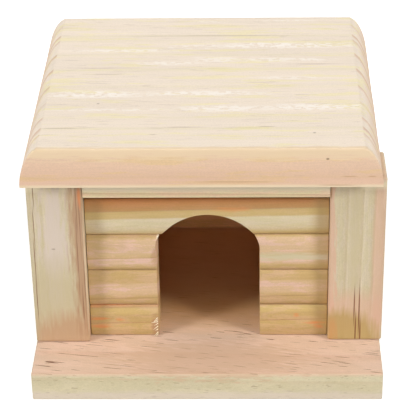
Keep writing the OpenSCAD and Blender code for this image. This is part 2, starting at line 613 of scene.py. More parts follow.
def waves(points: Array, grain: Grain, seed: int, along: float, across: float) -> Array:
    """Smooth seeded unevenness, long along the grain and short across it.

    A sum of n sine waves whose directions and phases come from the seed:
    sum(sin(k_j . p + phase_j)) / sqrt(n), which seldom leaves -2 to 2.

    Args:
        points: the places, one row each.
        grain: axis of the fibres.
        seed: number of the random draw.
        along: wavelength along the grain.
        across: wavelength across it.

    Returns:
        One value for each point.
    """
    draw = np.random.default_rng(seed)
    length = np.full((WAVES, 3), across)
    length[:, grain.value] = along
    length *= draw.uniform(*WAVE_SPREAD, (WAVES, 1))
    heading = draw.normal(size=(WAVES, 3))
    heading /= np.linalg.norm(heading, axis=1, keepdims=True)
    k = heading * 2.0 * np.pi / length
    phase = draw.uniform(0.0, 2.0 * np.pi, WAVES)
    return np.sin(points @ k.T + phase).sum(1) / math.sqrt(WAVES)


def eased_axis(low: float, high: float, ease: float, step: float,
               marks: tuple[float, ...] = ()) -> Array:
    """Grid lines along one axis of a board, closer together in its eased edges.

    Args:
        low: lowest place.
        high: highest place.
        ease: radius of the edges.
        step: about how far apart the lines are between them.
        marks: places that must have a line.

    Returns:
        The places, rising.
    """
    turn = ease * (1.0 - np.tan(np.radians([45.0, 30.0, 15.0, 0.0])))
    between = [m for m in sorted(marks) if low + ease < m < high - ease]
    stops = [low + ease, *between, high - ease]
    inner = [np.linspace(a, b, max(2, int(math.ceil((b - a) / step)) + 1))[1:]
             for a, b in zip(stops[:-1], stops[1:])]
    return np.concatenate([low + turn, *inner, (high - turn)[::-1][1:]])


def lattice_skin(xs: Array, ys: Array, zs: Array) -> tuple[Array, Array]:
    """The closed skin of a lattice of points.

    The six sides share the points of their common edges, so nothing has to
    be merged, and every quad points outwards.

    Args:
        xs: grid lines along X.
        ys: grid lines along Y.
        zs: grid lines along Z.

    Returns:
        The points, one row each, and the quads as rows of point numbers.
    """
    shape = (len(xs), len(ys), len(zs))
    skin = np.zeros(shape, bool)
    skin[[0, -1]] = skin[:, [0, -1]] = skin[:, :, [0, -1]] = True
    number = np.full(shape, -1)
    number[skin] = np.arange(skin.sum())
    points = np.stack(np.meshgrid(xs, ys, zs, indexing="ij"), -1)[skin]

    def quads(side: Array, flip: bool) -> Array:
        """Joins the points of one side.

        Args:
            side: its point numbers.
            flip: whether its quads are turned round.

        Returns:
            The quads.
        """
        q = np.stack([side[:-1, :-1], side[1:, :-1], side[1:, 1:], side[:-1, 1:]], -1)
        q = q.reshape(-1, 4)
        return q[:, ::-1] if flip else q

    sides = [quads(number[0], True), quads(number[-1], False),
             quads(number[:, 0], False), quads(number[:, -1], True),
             quads(number[:, :, 0], True), quads(number[:, :, -1], False)]
    return points, np.concatenate(sides)


def corners(node: str) -> tuple[Array, Array]:
    """Lowest and highest corner of one of the frame's nodes."""
    low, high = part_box(node)
    return np.array(low), np.array(high)


def place_piece(name: str, mesh: bpy.types.Mesh, finish: PineFinish) -> bpy.types.Object:
    """Dresses a mesh and makes it a piece of the house.

    Args:
        name: the piece's name.
        mesh: its mesh.
        finish: its pine.

    Returns:
        The piece.
    """
    mesh.polygons.foreach_set("use_smooth", np.ones(len(mesh.polygons), bool))
    mesh.materials.append(finish.build())
    mesh.update()
    piece = bpy.data.objects.new(name, mesh)
    bpy.context.scene.collection.objects.link(piece)
    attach(piece, BODY)
    log.info("%s: %d faces", piece.name, len(mesh.polygons))
    return piece


# Lengths of a board's slow and fine unevenness and of the chips in its edges,
# along and across the grain.
SLOW = (80 * MM, 24 * MM)
FINE = (30 * MM, 2.6 * MM)
CHIPS = (5 * MM, 1.7 * MM)
# Height of the fine unevenness.
FINE_HEIGHT = 0.012 * MM
# Even and chipped shares of the wear of an edge.
EVEN_WEAR = 0.6
CHIP_WEAR = 0.7
# About the highest value that waves gives.
CREST = 2.2
# How far a unit vector halfway round an edge falls short along its axis.
ROUND_DROP = 0.29


@dataclass
class Board:
    """One pine board or log as a closed, finely divided surface.

    Attributes:
        node: the frame's node that it stands for.
        finish: its pine.
        ease: radius of its softened edges.
        seed: number of its random draws.
        coarse: height of its slow unevenness.
        step: spacing of its grid.
        marks: grid lines it must have, along X, Y and Z.
        shape: a function that bends the plain board into its real form.
        facing: direction of the side that has the finish's other colour.
        wear: how far its edges are worn, more where they are chipped.
        low: its lowest corner.
        high: its highest corner.
    """

    node: str
    finish: PineFinish
    ease: float
    seed: int
    coarse: float
    step: float = 1.0 * MM
    marks: tuple[tuple[float, ...], ...] = ((), (), ())
    shape: Callable[[Array], Array] | None = None
    facing: Point = (0.0, 0.0, 1.0)
    wear: float = 0.10 * MM
    low: Array = field(init=False)
    high: Array = field(init=False)

    def __post_init__(self) -> None:
        """Reads the board's size from the frame."""
        self.low, self.high = corners(self.node)

    def surface(self) -> tuple[Array, Array, Array]:
        """Works the surface out.

        A point p of the plain box goes to c + e * (p - c) / |p - c|, where c
        is p clamped to the box shrunk by the edge radius e. Slow and fine
        unevenness then moves it along that direction, edges more than faces,
        and the board's own shape bends it last.

        Returns:
            The points, the quads and how much of an edge each point is.
        """
        axes = [eased_axis(a, b, self.ease, self.step, m)
                for a, b, m in zip(self.low, self.high, self.marks)]
        points, quads = lattice_skin(*axes)
        core = np.clip(points, self.low + self.ease, self.high - self.ease)
        out = points - core
        out /= np.linalg.norm(out, axis=1, keepdims=True)
        edge = np.clip((1.0 - np.abs(out).max(1)) / ROUND_DROP, 0.0, 1.0)
        grain = self.finish.grain
        slow, fine, chips = (waves(points, grain, self.seed + k, *lengths)
                             for k, lengths in enumerate((SLOW, FINE, CHIPS)))
        lift = self.coarse * (slow - CREST) + FINE_HEIGHT * (fine - CREST)
        lift -= edge * self.wear * (EVEN_WEAR + CHIP_WEAR * np.abs(chips))
        lift = np.minimum(lift, 0.0)
        points = core + out * (self.ease + lift[:, None])
        if self.shape is not None:
            points = self.shape(points)
        return points, quads, edge

    def build(self) -> bpy.types.Object:
        """Makes the object, dresses it and puts it in the frame.

        Returns:
            The finished piece.
        """
        points, quads, edge = self.surface()
        mesh = bpy.data.meshes.new(self.node + "_skin")
        mesh.from_pydata(points, [], quads)
        mesh.update()
        normals = np.empty(3 * len(points))
        mesh.vertex_normals.foreach_get("vector", normals)
        facing = np.clip(normals.reshape(-1, 3) @ np.array(self.facing), 0.0, 1.0)
        mesh.attributes.new("edge", "FLOAT", "POINT").data.foreach_set("value", edge)
        mesh.attributes.new("facing", "FLOAT", "POINT").data.foreach_set("value", facing)
        piece = place_piece(self.node + "_pine", mesh, self.finish)
        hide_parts(self.node)
        return piece


# --- sub-assemblies -----------------------------------------------------


@dataclass
class Roof:
    """The thick roof board with its two rounded-over ends.

    Attributes:
        node: the frame's node.
        rounding: how far its top edge is drawn in at each end.
        land: height of the straight part under the rounding.
        fullness: how full the rounding is, where 2 is a quarter round.
        fade: power by which the rounding falls off towards the middle.
        low: its lowest corner.
        high: its highest corner.
    """

    node: str = "roof_board"
    rounding: float = 7.0 * MM
    land: float = 0.8 * MM
    fullness: float = 1.75
    fade: int = 6
    low: Array = field(init=False)
    high: Array = field(init=False)

    def __post_init__(self) -> None:
        """Reads the board's size from the frame."""
        self.low, self.high = corners(self.node)

    def _finish(self) -> PineFinish:
        """Pine of the roof: broad rings that lean forward as they go down.

        Returns:
            The finish.
        """
        lean = 1.0
        top = self.high[2] / MM
        on_top = (-34.2, -30.0, -22.3, -11.0, 1.2, 14.7, 26.8, 38.6, 43.4, 52.0)
        depth = (0.5, 0.9, 0.7, 0.3, 0.7, 1.0, 0.9, 0.6, 1.0, 0.4)
        ends = tuple(y - lean * top for y in on_top)
        rings = Rings.years((0.0, 1.0, -lean), ends, depth, slow=2.4, quick=1.3,
                            waviness=1.2)
        return PineFinish("roof_board_pine", "roof_pine", Grain.ACROSS, rings,
                          pale=(226, 193, 166), early=(225, 191, 163), late=(216, 186, 144),
                          # The top is coloured paler and greyer than the front: a painted sheen
                          # on the top face.
                          other=(243, 227, 208), other_rings=0.5, streak=0.6,
                          patch=(34.0, 3.6), rarity=0.05, rose=(0.995, 1.01, 0.82), dashes=0.2,
                          marks=self._marks(), flecks=self._flecks(), shift=3.1, edge_wear_and_shade=0.05,
                          end_lines=0.6)

    def _flecks(self) -> tuple[Mark, ...]:
        """The broken pale streaks on top.

        Returns:
            The flecks.
        """
        top = self.high[2] / MM
        return tuple(
            Mark((x, y, top), (half, wide, 0.8), Tint.WHITE, strength, 0.4, 0.9)
            for x, y, half, wide, strength in (
                (0.8, 55.2, 4.7, 0.8, 0.6), (29.4, 56.0, 10.3, 0.7, 0.6),
                (-5.4, 33.3, 7.9, 1.5, 0.9), (26.5, 34.4, 25.7, 2.2, 1.0),
                (-30.9, 30.4, 16.9, 1.2, 0.8), (-14.0, 19.4, 10.0, 1.4, 0.8),
                (3.0, 22.4, 9.0, 2.0, 0.7), (26.8, 22.1, 15.9, 1.4, 0.8),
                (28.9, 7.5, 12.4, 1.0, 0.6), (-37.4, -4.8, 17.0, 2.4, 1.0),
                (-0.8, -4.3, 19.7, 1.7, 0.95), (-32.2, -16.6, 17.9, 1.0, 0.7),
                (6.4, -15.9, 15.4, 2.2, 0.85), (35.6, -15.0, 16.8, 2.1, 0.95)))

    def _marks(self) -> tuple[Mark, ...]:
        """The front's tones, strokes and painted highlight along its lower arris, and the thin
        dark lines and pins on top.

        Returns:
            The marks.
        """
        front, top = self.low[1] / MM, self.high[2] / MM
        bands = (Mark((0.0, front, 89.4), (250.0, 1.5, 3.6), Tint.SAND, 0.85, 0.3, 0.9),
                 Mark((0.0, front, 77.6), (250.0, 1.5, 3.4), Tint.ROSE, 0.3, 0.7, 0.4),
                 # Painted highlight along the front's lower arris.
                 Mark((0.0, front, 75.1), (250.0, 1.5, 1.0), Tint.CREAM, 0.95, 0.5, 0.3))
        lines = tuple(
            Mark((x, y, top), (half, 0.22, 0.6), Tint.LINE, 0.42, 0.5, 0.9)
            for x, y, half in ((3.0, 42.8, 26.0), (-36.8, 15.9, 9.4), (-36.9, 11.0, 5.6),
                               (37.2, 18.4, 11.7), (-47.2, -30.0, 6.3), (-6.6, -29.5, 6.2),
                               (20.9, -29.3, 2.3), (-16.8, -34.6, 1.4)))
        pins = tuple(Mark((x, y, top), (0.5, 0.4, 0.6), strength=0.45)
                     for x, y in ((-36.4, -11.9), (36.3, -33.8)))
        strokes = tuple(
            Mark((x, front, z), (half, 0.8, 0.22), Tint.TAN, 0.6)
            for x, z, half in ((43.4, 76.0, 6.5), (47.4, 79.2, 2.6), (54.9, 79.2, 1.2),
                               (10.0, 77.3, 10.0)))
        knot = Mark((40.3, front, 85.7), (0.45, 0.8, 0.35), strength=0.7)
        return (*bands, *lines, *pins, *strokes, knot)

    def _round_ends(self, points: Array) -> Array:
        """Draws both ends in by a(1 - (1 - t^n)^(1/n)), with t the height over the land.

        Args:
            points: the points of the square board.

        Returns:
            The points of the rounded one.
        """
        low, high = self.low, self.high
        rise = high[2] - low[2] - self.land
        t = np.clip((points[:, 2] - low[2] - self.land) / rise, 0.0, 1.0)
        inset = self.rounding * (1.0 - (1.0 - t ** self.fullness) ** (1.0 / self.fullness))
        middle, half = (low[0] + high[0]) / 2.0, (high[0] - low[0]) / 2.0
        bent = points.copy()
        reach = np.abs(points[:, 0] - middle) / half
        bent[:, 0] -= np.sign(points[:, 0] - middle) * inset * reach ** self.fade
        return bent

    def build(self) -> None:
        """Makes the board."""
        Board(self.node, self._finish(), ease=0.2 * MM, step=1.1 * MM,
              shape=self._round_ends, seed=11, wear=0.05 * MM, coarse=0.03 * MM).build()


@dataclass
class Base:
    """The floor board, whose front is the porch.

    Attributes:
        node: the frame's node.
    """

    node: str = "base_board"

    def build(self) -> None:
        """Makes the board."""
        ends = (-50.0, -41.0, -33.5, -24.0, -15.0, -2.0, 9.0, 20.0, 31.0)
        depth = (0.4, 0.3, 0.4, 0.3, 0.5, 0.4, 0.5, 0.4, 0.5)
        rings = Rings.years((0.015, 0.55, 1.0), ends, depth, slow=3.0)
        low, high = (corner / MM for corner in corners(self.node))
        front, top = low[1], high[2]
        # A darker tone over the middle of the porch's top.
        darker_middle = Mark((2.0, -50.0, top), (32.0, 11.0, 4.0), Tint.TREAD, 0.55, 0.15, 1.2)
        # Painted shade along the porch's front top edge, dimming its highlight.
        arris = Mark((0.0, front, top), (250.0, 1.3, 0.9), Tint.TREAD, 0.45, 0.5, 0.6)
        # Painted bounce light from the floor along the bottom of the porch's front.
        foot = Mark((0.0, -59.0, 0.6), (250.0, 6.0, 2.6), Tint.LILAC, 0.6, 0.3, 0.8)
        # Inside the house the porch's top is coloured oranger: painted light tuned to the shaded
        # inside.
        inside = Mark((0.0, 8.0, top), (60.0, 36.0, 6.0), Tint.INNER, 0.75, 0.25, 0.1)
        finish = PineFinish("base_board_pine", "base_pine", Grain.ACROSS, rings,
                            pale=(208, 196, 163), early=(202, 189, 154), late=(186, 148, 112),
                            other=(217, 187, 162), other_rings=0.5, streak=0.8, mottle=0.7,
                            patch=(16.0, 4.5), rose=(1.07, 1.07, 1.12), dashes=1.0,
                            marks=(inside, darker_middle, arris, foot), shift=7.7, slant=-9.0)
        Board(self.node, finish, ease=0.45 * MM, step=1.2 * MM, seed=21,
              coarse=0.03 * MM).build()


@dataclass
class Posts:
    """The four square corner posts, fibres upright.

    Attributes:
        pale: colour of their palest wood.
        early: colour of their ordinary wood.
        late: colour of their late wood.
        ease: radius of their edges.
    """

    pale: Colour = (213, 199, 166)
    early: Colour = (203, 188, 153)
    late: Colour = (170, 132, 94)
    ease: float = 0.7 * MM

    def _sheen(self, low: Array, high: Array) -> Mark:
        """Painted light at the top of a post's face, close under the roof, lifting the roof's
        shadow there.
        """
        place = ((low[0] + high[0]) / 2.0, low[1], 72.6)
        return Mark(place, (50.0, 3.0, 1.5), Tint.SHEEN, 0.8, 0.6, 0.2)

    def _left_marks(self, low: Array, high: Array) -> tuple[Mark, ...]:
        """The front left post's dark inner band, resin, grain lines and knot, with painted light
        under the roof, painted shade low down and at its foot, and a painted highlight on its
        inner arris.

        Args:
            low: the post's lowest corner, in millimetres.
            high: its highest corner.

        Returns:
            The marks.
        """
        outer, inner, face = low[0], high[0], low[1]
        band = Mark((inner + 0.6, face, 53.0), (5.2, 2.2, 40.0), Tint.STREAK, 0.75, 0.25, 0.6)
        resin = Mark((inner - 1.0, face, 69.0), (0.6, 0.9, 3.6), Tint.RESIN, 0.7, 0.5, 0.9)
        seams = tuple(
            Mark((inner - x, face, z), (0.14, 1.4, tall), Tint.LINE, 0.6, 0.5, 0.8)
            for x, z, tall in ((2.2, 66.0, 9.0), (2.6, 46.0, 14.0), (1.3, 58.0, 10.0),
                               (0.7, 35.0, 9.0), (1.6, 26.0, 7.0)))
        lines = tuple(
            Mark((outer + x, face, z), (0.13, 1.2, tall), Tint.LINE, 0.85, 0.5, 0.5)
            for x, z, tall in ((2.5, 70.0, 5.5), (2.0, 57.0, 7.0), (1.6, 43.0, 9.0),
                               (1.4, 28.0, 8.0)))
        knot = Mark((outer + 8.1, face, 48.6), (0.6, 0.8, 0.3), strength=0.4)
        lilac = Mark((outer + 8.6, face, 52.0), (3.9, 4.0, 23.0), Tint.LILAC, 0.75, 0.3, 1.5)
        # Painted shade over the post's lower part.
        low_shade = Mark((outer + 9.0, face, 27.0), (14.0, 4.0, 15.0), Tint.DUSK, 0.75, 0.4, 0.4)
        # Painted shade and warm bounce light at the post's foot, by the porch.
        foot = Mark((inner - 5.0, face, 11.0), (17.0, 8.0, 11.0), Tint.TAN, 0.7, 0.3, 0.35)
        # Painted highlight on the inner arris, over the shade in the gap beside the logs.
        arris = Mark((inner + 0.1, face + 0.2, 40.0), (0.55, 1.1, 27.0), Tint.CREAM,
                     0.75, 0.3, 0.7)
        return (self._sheen(low, high), lilac, low_shade, foot, band, *seams, resin, arris, knot,
                *lines)

    def _right_marks(self, low: Array, high: Array) -> tuple[Mark, ...]:
        """The front right post's rosier rim, grain lines and resin, with painted light under the
        roof and on the top of its side, and painted shade at its ochre foot.

        Args:
            low: the post's lowest corner, in millimetres.
            high: its highest corner.

        Returns:
            The marks.
        """
        inner, outer, face = low[0], high[0], low[1]
        rim = Mark((outer - 1.6, face, 48.0), (2.4, 26.0, 45.0), Tint.ROSE, 0.6, 0.2, 0.2)
        # Painted light on the top of the post's outer side, close under the roof.
        side = Mark((outer, face + 11.0, 72.0), (1.5, 10.0, 12.0), Tint.CREAM, 0.6, 0.6, 0.4)
        edge = Mark((inner, face, 40.0), (2.5, 3.0, 42.0), Tint.ROSE, 0.7, 0.15, 1.0)
        middle = Mark((inner + 8.4, face, 50.0), (1.9, 1.5, 34.0), Tint.DUSK, 0.6, 0.5, 0.5)
        blush = Mark((inner + 8.0, face, 22.0), (16.0, 8.0, 8.0), Tint.ROSE, 0.6, 0.35, 0.25)
        # Painted shade and warm bounce light at the post's foot, by the porch.
        foot = Mark((inner + 4.0, face, 11.0), (14.0, 8.0, 12.0), Tint.OCHRE, 0.8, 0.2, 0.25)
        resin = Mark((inner + 1.4, face, 14.0), (1.6, 2.0, 5.5), Tint.RESIN, 0.25, 0.4, 0.8)
        lines = tuple(
            Mark((inner + x, face, z), (0.22, 1.2, tall), Tint.LINE, 0.9, 0.4, 0.3)
            for x, z, tall in ((9.0, 25.0, 7.0), (9.6, 14.5, 7.0), (10.7, 23.0, 10.0),
                               (11.2, 13.0, 7.0)))
        return (rim, side, self._sheen(low, high), edge, middle, blush, foot, resin, *lines)

    def _finish(self, name: str, index: int) -> PineFinish:
        """Pine of one post: upright rings, and the marks of the two front ones.

        Args:
            name: the post's node.
            index: its number.

        Returns:
            The finish.
        """
        low, high = (corner / MM for corner in corners(name))
        marks: tuple[Mark, ...] = ()
        if name == "front_left_post":
            ends = tuple(high[0] - k for k in (30.0, 26.4, 16.0, 7.0))
            rings = Rings.years((1.0, 0.35, 0.018), ends, (0.25, 0.25, 0.15, 0.6), waviness=0.5)
            marks = self._left_marks(low, high)
        elif name == "front_right_post":
            ends = tuple(low[0] + k for k in (-6.0, -1.0, 3.0, 6.0))
            rings = Rings.years((1.0, 0.3, -0.01), ends, (0.3, 0.3, 0.4, 0.3), waviness=0.6)
            marks = self._right_marks(low, high)
        else:
            ends = tuple((low[0] + high[0]) / 2.0 + k for k in (-8.0, -2.0, 5.0, 12.0))
            rings = Rings.years((1.0, 0.4, 0.0), ends, (0.5, 0.7, 0.5, 0.6))
        return PineFinish(name + "_pine", "post_pine", Grain.UP, rings, self.pale, self.early,
                          self.late, streak=1.1, mottle=0.3, patch=(6.0, 1.6), dashes=0.25,
                          marks=marks, shift=1.3 + index)

    def build(self) -> None:
        """Makes the posts."""
        names = ("front_left_post", "front_right_post", "rear_left_post", "rear_right_post")
        for index, name in enumerate(names):
            Board(name, self._finish(name, index), ease=self.ease, seed=31 + 3 * index,
                  coarse=0.03 * MM).build()


@dataclass
class Doorway:
    """The arched opening: a flat crown, two tighter haunches and straight sides.

    Attributes:
        height: top of the arch over the floor.
        crown_share: radius of the crown, in half widths of the opening.
        haunch_share: radius of the haunches, in half widths of the opening.
        left: the opening's left side.
        right: its right side.
        floor: top of the base board.
        half: half the opening's width.
        middle: place of its middle.
        crown: radius of the crown.
        crown_z: height of the crown's centre.
        haunch: radius of the haunches.
        haunch_z: height of their centres.
        join_x: how far from the middle crown and haunches meet.
        join_z: height at which they meet.
    """

    height: float = 48.7 * MM
    crown_share: float = 1.086
    haunch_share: float = 0.57
    left: float = field(init=False)
    right: float = field(init=False)
    floor: float = field(init=False)
    half: float = field(init=False)
    middle: float = field(init=False)
    crown: float = field(init=False)
    crown_z: float = field(init=False)
    haunch: float = field(init=False)
    haunch_z: float = field(init=False)
    join_x: float = field(init=False)
    join_z: float = field(init=False)

    def __post_init__(self) -> None:
        """Reads the opening's sides from the logs beside it and sets out the arcs."""
        self.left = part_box("front_left_log_1")[1].x
        self.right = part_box("front_right_log_1")[0].x
        self.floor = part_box("base_board")[1].z
        self.half = (self.right - self.left) / 2.0
        self.middle = (self.left + self.right) / 2.0
        self.crown = self.half * self.crown_share
        self.haunch = self.half * self.haunch_share
        self.crown_z = self.floor + self.height - self.crown
        aside = self.half - self.haunch
        between = self.crown - self.haunch
        self.haunch_z = self.crown_z + math.sqrt(between ** 2 - aside ** 2)
        reach = self.haunch / between
        self.join_z = self.haunch_z + reach * (self.haunch_z - self.crown_z)
        self.join_x = aside + reach * aside

    def half_width(self, z: Array) -> Array:
        """Half the opening's width at height z, 0 above the crown.

        Up to the haunches' centres it is the straight half width h. Above,
        it is h - r + sqrt(r^2 - (z - zh)^2) on a haunch of radius r, and
        past the join sqrt(R^2 - (z - zc)^2) on the crown of radius R.

        Args:
            z: the heights.

        Returns:
            One half width for each height.
        """
        rise = np.clip(z - self.haunch_z, 0.0, self.haunch)
        haunch = self.half - self.haunch + np.sqrt(self.haunch ** 2 - rise ** 2)
        crown = np.sqrt(np.clip(self.crown ** 2 - (z - self.crown_z) ** 2, 0.0, None))
        return np.where(z < self.join_z, haunch, crown)

    def top(self, x: Array) -> Array:
        """Height of the arch over x, by the same arcs as half_width.

        Args:
            x: the places.

        Returns:
            One height for each place.
        """
        off = np.clip(np.abs(x - self.middle), 0.0, self.half)
        crown = self.crown_z + np.sqrt(np.clip(self.crown ** 2 - off ** 2, 0.0, None))
        past = np.clip(off - (self.half - self.haunch), 0.0, self.haunch)
        haunch = self.haunch_z + np.sqrt(self.haunch ** 2 - past ** 2)
        return np.where(off < self.join_x, crown, haunch)


# Lateness of the front logs by height over the ground, in millimetres.
FRONT_ROWS: dict[int, Stops] = {
    1: ((10.5, 0.75), (13.4, 0.66), (14.6, 0.52), (16.4, 0.54), (16.7, 0.90), (17.1, 0.62),
        (19.6, 0.62), (20.6, 0.45), (22.2, 0.48), (23.1, 0.84)),
    2: ((23.6, 0.78), (24.5, 0.58), (26.4, 0.50), (26.7, 0.85), (27.1, 0.52), (28.6, 0.20),
        (30.4, 0.12), (32.6, 0.16), (33.2, 0.50), (36.4, 0.55), (37.6, 0.70)),
    3: ((37.4, 0.58), (39.0, 0.50), (40.0, 0.30), (40.8, 0.06), (42.6, 0.06), (42.9, 0.72),
        (43.3, 0.40), (45.0, 0.15), (50.0, 0.15), (51.6, 0.78)),
    4: ((51.6, 0.75), (52.5, 0.38), (54.0, 0.12), (56.0, 0.0), (58.2, 0.0), (58.8, 0.40),
        (60.4, 0.42), (61.1, 0.50), (61.6, 0.86), (64.6, 0.95), (66.5, 1.00)),
    5: ((65.5, 0.85), (70.0, 0.70), (75.0, 0.60)),
}


# Added to a width that may be zero before something is divided by it.
LEAST_WIDTH = 1e-6


# Tones on front logs: x, height, half length and half height in millimetres, tint, strength.
TONES: dict[str, tuple[tuple[float, float, float, float, Tint, float], ...]] = {
    "front_left_log_1": ((-35.0, 23.4, 8.5, 0.8, Tint.RESIN, 0.85),
                         (-37.5, 17.6, 3.6, 0.55, Tint.RESIN, 0.6),
                         (-30.5, 17.4, 1.4, 0.6, Tint.RESIN, 0.5),
                         (-37.0, 14.6, 3.8, 0.7, Tint.RESIN, 0.6)),
    "front_left_log_2": ((-30.0, 34.4, 9.0, 2.6, Tint.OCHRE, 0.3),),
    "front_left_log_3": ((-36.0, 47.6, 5.0, 2.6, Tint.OCHRE, 0.4),
                         (-28.5, 47.8, 1.6, 2.2, Tint.OCHRE, 0.3)),
    "front_right_log_2": ((36.0, 34.6, 5.0, 2.6, Tint.OCHRE, 0.3),),
    "front_right_log_1": ((37.2, 16.2, 3.0, 0.6, Tint.RESIN, 0.65),
                          (39.0, 14.4, 1.8, 0.6, Tint.RESIN, 0.6),
                          (31.0, 19.2, 0.9, 0.6, Tint.RESIN, 0.5)),
    "front_right_log_3": ((28.0, 42.9, 15.0, 1.4, Tint.MOSS, 0.9),),
    "front_arch_log": ((9.5, 61.6, 5.0, 0.8, Tint.RESIN, 0.4),),
}


@dataclass
class LogWall:
    """One wall of stacked half-logs.

    Attributes:
        side: which wall it is.
        door: the doorway, in the front wall only.
        crown: how far a log's round face falls back at its edges.
        power: how square its shoulders are.
        pitch: height of a full log.
        low_row: height of the lowest log, trimmed at the floor.
        climb: how much higher the rings lie for each unit to the right.
        lean: how much higher they lie for each unit inwards.
        cut_ease: radius of the edges that the door cut left.
        chip_depth: depth of the chip beside the doorway, in the third left log.
        chip_width: its width.
        chip_low: its lower end.
        chip_tall: its height.
        corner: how far that log's upper corner is cut back behind the arch.
        corner_low: where the corner begins.
        corner_tall: height over which it reaches its depth.
        pale: colour of the palest wood in the upper rows.
        rosy: colour of the palest wood in the lower rows.
        early: colour of ordinary wood.
        brown: colour between ordinary and late wood.
        late: colour of the darkest late wood.
        inner: colour of ordinary wood on the inner side, oranger than outside: painted light
            tuned to the shaded inside.
        floor: top of the base board.
    """

    side: Side
    door: Doorway | None = None
    crown: float = 1.5 * MM
    power: float = 2.6
    pitch: float = 14.15 * MM
    low_row: float = 12.3 * MM
    climb: float = 0.02
    lean: float = 0.5
    cut_ease: float = 0.5 * MM
    chip_depth: float = 1.7 * MM
    chip_width: float = 1.9 * MM
    chip_low: float = 38.3 * MM
    chip_tall: float = 7.6 * MM
    corner: float = 0.65 * MM
    corner_low: float = 44.0 * MM
    corner_tall: float = 5.5 * MM
    pale: Colour = (214, 199, 161)
    rosy: Colour = (217, 184, 152)
    early: Colour = (200, 170, 114)
    brown: Colour = (182, 150, 100)
    late: Colour = (182, 116, 60)
    # Painted light: the inner side is coloured oranger to match the shaded inside.
    inner: Colour = (236, 180, 110)
    floor: float = field(init=False)

    def __post_init__(self) -> None:
        """Reads the floor's height from the frame."""
        self.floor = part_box("base_board")[1].z

    def _rows(self) -> list[tuple[str, int, int]]:
        """Lists the wall's logs.

        Returns:
            For each log its name, its row and its side of the doorway.
        """
        if self.side is not Side.FRONT:
            return [(f"{self.side.value}_log_{row}", row, 0) for row in range(1, 6)]
        parts = [(f"front_{name}_log_{row}", row, way)
                 for row in (1, 2, 3) for name, way in (("left", -1), ("right", 1))]
        return parts + [("front_arch_log", 4, 0), ("front_top_log", 5, 0)]

    def _outward(self) -> tuple[int, int]:
        """Axis and sign of the direction that the round faces look in."""
        return {Side.FRONT: (1, -1), Side.REAR: (1, 1),
                Side.LEFT: (0, -1), Side.RIGHT: (0, 1)}[self.side]

    def _middle(self, row: int) -> float:
        """Height of the middle of a row's log."""
        return self.floor + self.low_row + (row - 1.5) * self.pitch

    def _fall(self, z: Array, row: int) -> Array:
        """How far the face lies back at height z: c(1 - (1 - |t|^n)^(1/n)), t from -1 to 1."""
        t = np.clip(np.abs(z - self._middle(row)) / (self.pitch / 2.0), 0.0, 1.0)
        return self.crown * (1.0 - (1.0 - t ** self.power) ** (1.0 / self.power))

    def _cut_back(self, p: Array, way: int, row: int) -> Array:
        """How far the door cut lays the face back near its edge.

        A quarter round of the cut's edge radius, r - sqrt(r^2 - (r - d)^2) at
        distance d from the cut. The third left log also lost a chip, whose
        width swells and fades over its height and which deepens to the edge.

        Args:
            p: the points, cut to the arch already.
            way: side of the doorway, -1 left and 1 right.
            row: the log's row.

        Returns:
            One depth for each point.
        """
        edge = self.door.middle + way * self.door.half_width(p[:, 2])
        away = np.clip((p[:, 0] - edge) * way, 0.0, None)
        r = self.cut_ease
        back = r - np.sqrt(r ** 2 - np.clip(r - away, 0.0, r) ** 2)
        if row == 3 and way < 0:
            t = np.clip((p[:, 2] - self.chip_low) / self.chip_tall, 0.0, 1.0)
            width = self.chip_width * np.sqrt(np.sin(np.pi * t)) + LEAST_WIDTH
            back = np.maximum(back, self.chip_depth * np.clip(1.0 - away / width, 0.0, 1.0))
        return back

    def _shape(self, name: str, row: int, way: int) -> Callable[[Array], Array]:
        """Makes the function that rounds a log's face and cuts it at the doorway.

        Args:
            name: the log's node.
            row: its row.
            way: side of the doorway, -1 left, 1 right and 0 neither.

        Returns:
            The function.
        """
        low, high = corners(name)
        axis, sign = self._outward()
        thick = high[axis] - low[axis]
        door = self.door
        far, near = (low[0], high[0]) if way < 0 else (high[0], low[0])

        def bend(points: Array) -> Array:
            """Cuts the log to the arch, then lays its face back towards its edges.

            Args:
                points: the points of the square log.

            Returns:
                The points of the finished one.
            """
            p = points.copy()
            back = 0.0
            if door and way == 0 and row == 4:
                over = np.abs(p[:, 0] - door.middle) < door.half
                foot = np.maximum(low[2], np.where(over, door.top(p[:, 0]), low[2]))
                share = (p[:, 2] - low[2]) / (high[2] - low[2])
                p[:, 2] = foot + share * (high[2] - foot)
            elif door and way:
                jamb = door.middle + way * door.half_width(p[:, 2])
                if row == 3 and way < 0:
                    t = np.clip((p[:, 2] - self.corner_low) / self.corner_tall, 0.0, 1.0)
                    jamb = jamb - self.corner * t * t * (3.0 - 2.0 * t)
                p[:, 0] = far + (p[:, 0] - far) / (near - far) * (jamb - far)
                back = self._cut_back(p, way, row)
            face = low[axis] if sign < 0 else high[axis]
            front = 1.0 - np.clip(np.abs(p[:, axis] - face) / thick, 0.0, 1.0)
            p[:, axis] -= sign * (self._fall(p[:, 2], row) + back) * front
            return p

        return bend

    def _marks(self, name: str, row: int) -> tuple[Mark, ...]:
        """The painted shadow of the posts on the front logs' ends, their tones, and bare wood at
        the chip and the slivers.

        Args:
            name: the log's node.
            row: its row.

        Returns:
            The marks.
        """
        if self.side is not Side.FRONT:
            return ()
        low, high = (corner / MM for corner in corners(name))
        face, middle, jamb = low[1], self._middle(row) / MM, self.door.left / MM
